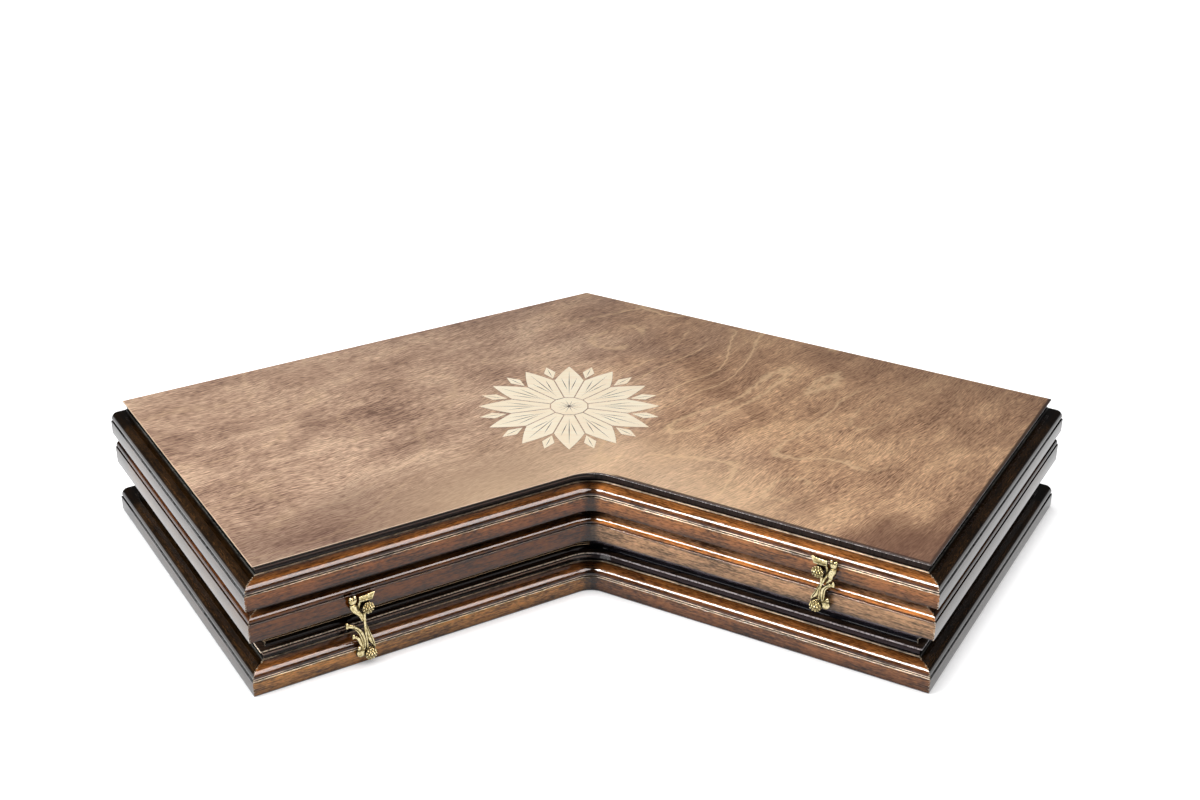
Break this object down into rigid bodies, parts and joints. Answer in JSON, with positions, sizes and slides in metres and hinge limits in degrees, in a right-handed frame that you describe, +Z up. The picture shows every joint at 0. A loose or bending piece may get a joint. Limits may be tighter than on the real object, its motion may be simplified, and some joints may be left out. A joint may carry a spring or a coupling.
{
  "type": "three-player backgammon set",
  "caption": "Stacked V-shaped wooden board game case with moulded edges, brass hook latches and hinged trays that unfold into a three-armed backgammon board.",
  "frame": {"origin": "bottom centre of the closed set's bounding box, on the resting plane", "axes": "+X to the right along the longest extent, +Y to the apex of the V at the back, +Z up"},
  "size_m": [0.7642, 0.4772, 0.0968],
  "materials": {
    "panel_veneer": "gloss lacquer",
    "moulding": "gloss lacquer",
    "edge": "satin lacquer",
    "field": "satin lacquer",
    "light_inlay": "satin lacquer",
    "dark_inlay": "satin lacquer",
    "brass": "aged",
    "light_men": "polished",
    "dark_men": "polished",
    "red_men": "polished",
    "dice": "polished"
  },
  "bodies": {
    "middle_tray": {"middle_floor": "panel_veneer", "middle_left_front": "moulding", "middle_right_front": "moulding", "middle_left_end": "moulding", "middle_right_end": "moulding", "middle_left_back": "edge", "middle_right_back": "edge", "middle_field": "field", "middle_light_points": "light_inlay", "middle_dark_points": "dark_inlay", "middle_leaf_left_1": "brass", "middle_leaf_left_2": "brass", "middle_leaf_right_1": "brass", "middle_leaf_right_2": "brass", "right_pivot": "brass", "left_stud": "brass", "light_men": "light_men", "dark_men": "dark_men", "red_men": "red_men", "dice": "dice"},
    "upper_tray": {"upper_panel": "panel_veneer", "upper_left_front": "moulding", "upper_right_front": "moulding", "upper_left_end": "moulding", "upper_right_end": "moulding", "upper_left_back": "edge", "upper_right_back": "edge", "upper_field": "field", "upper_light_points": "light_inlay", "upper_dark_points": "dark_inlay", "rosette_petals": "light_inlay", "rosette_diamonds": "light_inlay", "upper_leaf_1": "brass", "upper_leaf_2": "brass", "right_stud": "brass"},
    "lower_tray": {"lower_panel": "panel_veneer", "lower_left_front": "moulding", "lower_right_front": "moulding", "lower_left_end": "moulding", "lower_right_end": "moulding", "lower_left_back": "edge", "lower_right_back": "edge", "lower_field": "field", "lower_light_points": "light_inlay", "lower_dark_points": "dark_inlay", "lower_leaf_1": "brass", "lower_leaf_2": "brass", "left_pivot": "brass"},
    "upper_latch": {"right_hook": "brass"},
    "lower_latch": {"left_hook": "brass"}
  },
  "joints": [
    {"name": "upper_tray_hinge", "type": "hinge", "parent": "middle_tray", "child": "upper_tray", "pos_m": [-0.0002, 0.23891, 0.06205], "axis": [-0.866, -0.5, 0], "range_deg": [0, 180]},
    {"name": "lower_tray_hinge", "type": "hinge", "parent": "middle_tray", "child": "lower_tray", "pos_m": [0.0002, 0.23891, 0.02715], "axis": [0.866, -0.5, 0], "range_deg": [0, 180]},
    {"name": "upper_latch_swing", "type": "hinge", "parent": "middle_tray", "child": "upper_latch", "pos_m": [0.15776, -0.1972, 0.0475], "axis": [0.5, 0.866, 0], "range_deg": [0, 85]},
    {"name": "lower_latch_swing", "type": "hinge", "parent": "lower_tray", "child": "lower_latch", "pos_m": [-0.15776, -0.1972, 0.0085], "axis": [0.5, -0.866, 0], "range_deg": [0, 85]}
  ]
}
